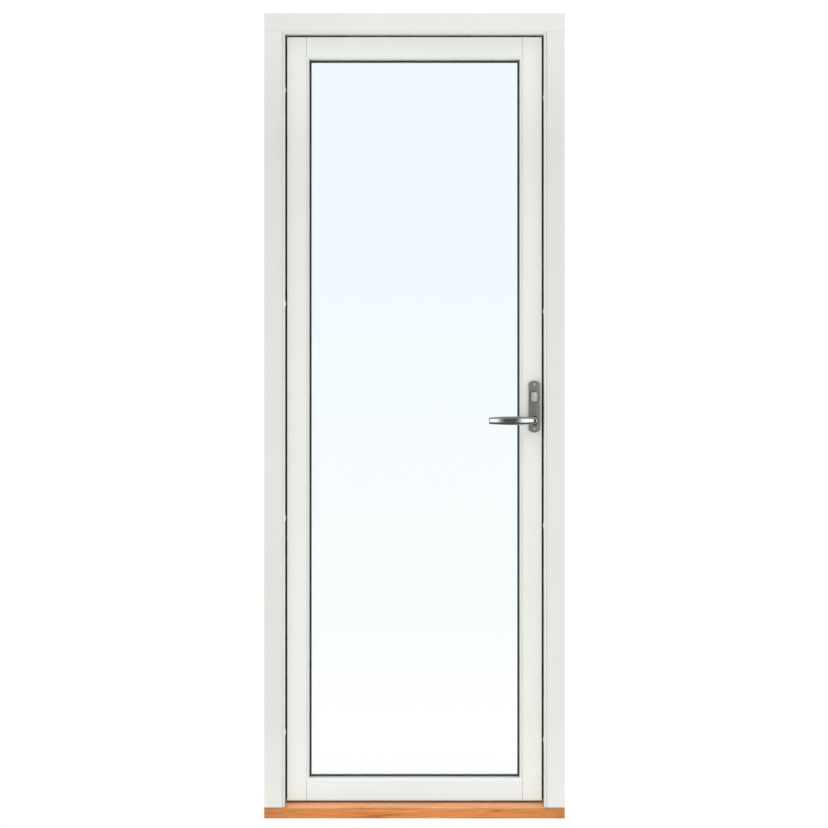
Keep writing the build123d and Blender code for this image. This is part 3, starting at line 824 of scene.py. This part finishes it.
def lever_sections():
    """Sections of the lever from the plate to the tip: centre, direction, half sizes and squareness."""
    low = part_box("lever_handle")[0]
    axis_x = middle_of("handle_backplate")[0]
    axis_z = middle_of("lever_handle")[2]
    ends = (axis_x, low[0] + lever_tip_inset, low[1] + lever_front_inset)
    bend_guess_x = axis_x - lever_bend * lever_bend_guess
    slope_at_bend = lever_station(bend_guess_x, *ends)[1]
    last_turn = math.pi / 2 - math.atan(slope_at_bend)
    bend_end_x = axis_x - lever_bend * (1 - math.cos(last_turn))
    y, _, half_height, half_depth = lever_station(bend_end_x, *ends)
    corner = Vector((axis_x - lever_bend, y + lever_bend * math.sin(last_turn), axis_z))
    start_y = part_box("handle_backplate")[0][1] + lever_root_inside
    sections = []
    for n in range(neck_steps + 1):
        centre = Vector((axis_x, start_y + (corner.y - start_y) * n / neck_steps, axis_z))
        sections.append((centre, Vector((0, -1, 0)), lever_neck_radius, lever_neck_radius, lever_roundness))
    for n in range(1, bend_steps + 1):
        share = n / bend_steps
        turn = last_turn * share
        centre = corner + Vector((lever_bend * math.cos(turn), -lever_bend * math.sin(turn), 0))
        ahead = Vector((-math.sin(turn), -math.cos(turn), 0))
        high_half = lever_neck_radius + (half_height - lever_neck_radius) * share
        deep_half = lever_neck_radius + (half_depth - lever_neck_radius) * share
        squareness = lever_roundness + (lever_squareness - lever_roundness) * share
        sections.append((centre, ahead, high_half, deep_half, squareness))
    grip_end_x = ends[1] + lever_tip_round
    for n in range(1, grip_steps + 1):
        x = bend_end_x + (grip_end_x - bend_end_x) * n / grip_steps
        y, slope, half_height, half_depth = lever_station(x, *ends)
        ahead = Vector((-1, -slope, 0)).normalized()
        sections.append((Vector((x, y, axis_z)), ahead, half_height, half_depth, lever_squareness))
    centre, ahead, half_height, half_depth, squareness = sections[-1]
    for n in range(1, tip_steps + 1):
        turn = math.pi / 2 * n / tip_steps
        out = ahead * (lever_tip_round * math.sin(turn) * lever_tip_reach)
        inward = lever_tip_round * (1 - math.cos(turn))
        sections.append((centre + out, ahead, half_height - inward, half_depth - inward, squareness))
    return sections


def make_lever(material):
    """Lever that comes straight out of the plate, bends over and bows towards the room."""
    shape = bmesh.new()
    rings = []
    for centre, ahead, half_height, half_depth, squareness in lever_sections():
        across = ahead.cross(Vector((0, 0, 1))).normalized()
        ring = []
        for n in range(lever_segments):
            turn = 2 * math.pi * n / lever_segments
            c, s = math.cos(turn), math.sin(turn)
            u = math.copysign(abs(c) ** (2 / squareness), c) * half_depth
            v = math.copysign(abs(s) ** (2 / squareness), s) * half_height
            ring.append(shape.verts.new(centre + across * u + Vector((0, 0, v))))
        rings.append(ring)
    for first, second in zip(rings, rings[1:]):
        bridge(shape, first, second)
    shape.faces.new(rings[0])
    shape.faces.new(rings[-1])
    bmesh.ops.recalc_face_normals(shape, faces=shape.faces)
    piece = add_piece("lever_grip", shape, material, "lever")
    shade_smooth(piece, 60.0)
    return piece


def make_ring(name, outer, ring_height, material):
    """Ring with a rounded top on the handle plate, round the lever's neck."""
    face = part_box("handle_backplate")[1][1] - plate_thickness
    centre = Vector((middle_of("handle_backplate")[0], face, middle_of("lever_handle")[2]))
    middle = (outer + rose_inner) / 2
    half = (outer - rose_inner) / 2
    shape = bmesh.new()
    profiles = []
    for n in range(ring_segments):
        around = 2 * math.pi * n / ring_segments
        outward = Vector((math.cos(around), 0, math.sin(around)))
        profile = []
        for k in range(ring_steps + 1):
            turn = math.pi * k / ring_steps
            spot = outward * (middle + half * math.cos(turn)) + Vector((0, -ring_height * math.sin(turn), 0))
            profile.append(shape.verts.new(centre + spot))
        profiles.append(profile)
    for n, profile in enumerate(profiles):
        bridge(shape, profile, profiles[(n + 1) % ring_segments])
    bmesh.ops.recalc_face_normals(shape, faces=shape.faces)
    shade_smooth(add_piece(name, shape, material, "leaf"), 60.0)


def make_turn_shadow_washer(material):
    """Thin dark washer under the thumb turn, a little larger than its foot, a painted shadow round it."""
    low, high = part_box("thumb_turn")
    middle_x, _, middle_z = middle_of("thumb_turn")
    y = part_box("handle_backplate")[1][1] - plate_thickness - washer_gap
    half_x = (high[0] - low[0]) / 2 + washer_lip - washer_corner
    half_z = (high[2] - low[2]) / 2 + washer_lip - washer_corner
    outline = []
    for side_x, side_z, start in ((1, 1, 0), (-1, 1, 90), (-1, -1, 180), (1, -1, 270)):
        for step in range(0, 91, 15):
            turn = math.radians(start + step)
            x = middle_x + side_x * half_x + washer_corner * math.cos(turn)
            z = middle_z + side_z * half_z + washer_corner * math.sin(turn)
            outline.append((x, z))
    shape = bmesh.new()
    add_slab(shape, outline, y, y - washer_thickness)
    bmesh.ops.recalc_face_normals(shape, faces=shape.faces)
    add_piece("turn_shadow_washer", shape, material, "turn")


def make_gap_seals_and_shade(material):
    """Black sealing strips on the leaf's lip, behind the gap round the leaf: a seal, and painted shade that
    darkens the gap.
    """
    lip_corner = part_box("lock_stile")[1]
    leaf_x = lip_corner[0] - lip_beyond
    leaf_top = lip_corner[2] - lip_beyond
    outer_x = leaf_x + gap_seal_width
    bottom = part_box("threshold")[1][2] + gap_seal_foot
    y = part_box("frame_head")[1][1] - rebate_depth + lip_gap
    spans = [
        (-outer_x, -leaf_x, bottom, leaf_top),
        (leaf_x, outer_x, bottom, leaf_top),
        (-outer_x, outer_x, leaf_top, leaf_top + gap_seal_width),
    ]
    shape = bmesh.new()
    for x0, x1, z0, z1 in spans:
        add_slab(shape, [(x0, z0), (x1, z0), (x1, z1), (x0, z1)], y + gap_seal_sunk, y - gap_seal_thickness)
    bmesh.ops.recalc_face_normals(shape, faces=shape.faces)
    add_piece("gap_seals_and_shade", shape, material, "leaf")


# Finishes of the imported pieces


def give(node, material):
    """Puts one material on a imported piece."""
    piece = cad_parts[node]
    piece.data.materials.clear()
    piece.data.materials.append(material)


def soften_edges(node, width):
    """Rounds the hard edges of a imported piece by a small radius."""
    round_edges(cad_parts[node], width, 2)


def opening_of(jamb):
    """How far a jamb's inner side lies from the middle of the door."""
    low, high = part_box(jamb)
    return min(abs(low[0]), abs(high[0]))


def joint_and_shade_lines(node):
    """Fine dark lines on a painted member: dark joint lines, and painted shade along a bevel, in a quirk and
    at a jamb's foot. Axis, place, width and shade.
    """
    rail_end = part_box("top_rail")[1][0] - rail_tongue
    if node in ("top_rail", "bottom_rail"):
        return [("X", rail_end, *rail_line)]
    if node in ("hinge_stile", "lock_stile"):
        return [("X", rail_end, *stile_bevel_shade)]
    if node.startswith("frame_jamb"):
        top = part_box("frame_head")[0][2] + frame_moulding
        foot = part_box(node)[0][2] + joint_width
        quirk = opening_of(node) + frame_moulding - quirk_inset
        return [("Z", top, *jamb_top_line), ("Z", foot, *jamb_foot_joint_shade), ("X", quirk, *quirk_shade_line)]
    return []


def painted_light_fades(node):
    """Painted light and shade along a member, paler or darker where it is lit more or less: axis, start, end
    and lift.
    """
    if node == "frame_head":
        return [head_painted_shade]
    if node in level_members:
        return []
    light_fades = [foot_painted_light, top_painted_light]
    if node.startswith("frame_jamb"):
        side = 1 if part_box(node)[0][0] > 0 else -1
        opening = opening_of(node)
        for start, end, lift in (moulding_painted_light, reveal_painted_light):
            light_fades.append(("X", side * (opening + start), side * (opening + end), lift))
    return light_fades


def make_finishes():
    """The finishes that pieces share, by name."""
    finishes = {name: brushed_metal(name, *recipe) for name, recipe in metals.items()}
    for name, recipe in plastics.items():
        finishes[name] = plain_plastic(name, *recipe)
    finishes["polished_chrome"] = polished_metal("polished_chrome", chrome_tone, chrome_roughness)
    finishes["oiled_hardwood"] = oiled_hardwood()
    finishes["clear_glass"] = clear_glass()
    return finishes


def dress(finishes):
    """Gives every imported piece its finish."""
    # Each member's tone, fades and groove lines carry painted light and shade
    for node, tone in paint_and_light_tones.items():
        axis = "X" if node in level_members else "Z"
        give(node, painted_timber_and_light("paint_with_light_" + node, tone, axis, joint_and_shade_lines(node), painted_light_fades(node)))
        soften_edges(node, timber_edge)
    for finish, nodes in worn_by.items():
        for node in nodes:
            give(node, finishes[finish])
    soften_edges("threshold", timber_edge)
    for node in softened_metal:
        soften_edges(node, metal_edge)


def make_fasteners(zinc, pale):
    """Screws of the hinges, the strikes, the faceplate and the handle plate."""
    jamb_spots, leaf_spots, strike_spots = [], [], []
    for place in places:
        jamb_spots += hinge_screw_spots("hinge_frame_half_" + place, True)
        leaf_spots += hinge_screw_spots("hinge_leaf_half_" + place, False)
        strike_spots += strike_screw_spots("strike_" + place)
    make_screws("hinge_screws_jamb", jamb_spots, hinge_screw_radius, zinc, "frame")
    make_screws("hinge_screws_leaf", leaf_spots, hinge_screw_radius, zinc, "leaf")
    make_screws("strike_screws", strike_spots, strike_screw_radius, zinc, "frame")
    make_screws("faceplate_screws", faceplate_screw_spots(), strike_screw_radius, zinc, "leaf")
    make_screws("handle_plate_screws", plate_screw_spots(), plate_screw_radius, pale, "leaf")


bpy.context.scene.view_settings.view_transform = "Standard"
make_camera()
make_world()
make_floor()
for lamp in lamps:
    make_lamp(*lamp)

finishes = make_finishes()
dress(finishes)
# The seal rubber also serves as painted shade in the dark washers and the strips behind the gap
chrome, rubber = finishes["polished_chrome"], finishes["seal_rubber"]
make_fasteners(finishes["zinc_steel"], finishes["turn_metal"])
lever_grip = make_lever(chrome)
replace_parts(lever_grip, "lever_handle")
make_ring("lever_rose", rose_outer, rose_height, chrome)
# Painted shadow round the rose
make_ring("rose_shadow_washer", rose_shadow_outer, rose_shadow_height, rubber)
# Painted shadow round the thumb turn
make_turn_shadow_washer(rubber)
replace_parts(make_plate(finishes["satin_metal"]), "handle_backplate")
# A seal and painted shade in the gap round the leaf
make_gap_seals_and_shade(rubber)
